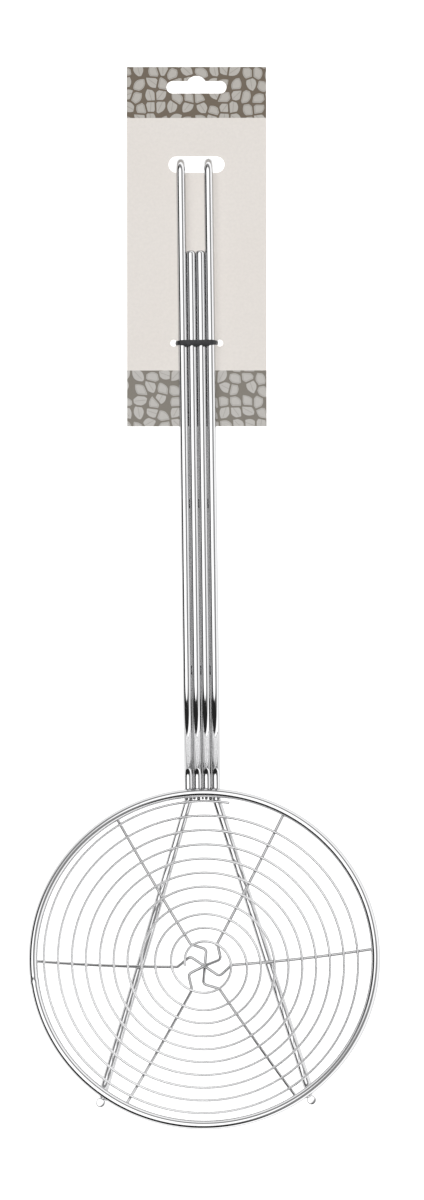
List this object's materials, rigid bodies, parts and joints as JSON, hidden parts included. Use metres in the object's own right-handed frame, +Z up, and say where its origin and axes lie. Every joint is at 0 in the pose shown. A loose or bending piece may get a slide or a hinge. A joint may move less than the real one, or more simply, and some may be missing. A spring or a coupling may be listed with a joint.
{
  "type": "spider skimmer",
  "caption": "Wire skimmer: a shallow spiral basket in a round rim, on a cranked handle of parallel wires that ends in a hook, on a hang card.",
  "frame": {"origin": "on the surface that the skimmer lies on, under the centre of its outline", "axes": "+Y along the handle towards the hook and the card, +Z up out of the basket, X across"},
  "size_m": [0.1806, 0.544, 0.0686],
  "materials": {
    "frame_wire": "bright chrome plate on drawn wire",
    "basket_wire": "chrome plate on thin wire, slightly duller at the welds",
    "weld_metal": "plated weld bead, slightly rough",
    "card": "smooth printed card, pale beige with two patterned taupe bands",
    "tie": "matte black flat tie"
  },
  "bodies": {
    "root": {"outer_wire": "frame_wire", "inner_wire_left": "frame_wire", "inner_wire_right": "frame_wire", "rim_ring": "frame_wire", "spoke_across": "basket_wire", "spoke_rising": "basket_wire", "spoke_falling": "basket_wire", "spiral": "basket_wire", "tack_welds": "weld_metal", "hang_card": "card", "card_tie": "tie"}
  },
  "joints": []
}
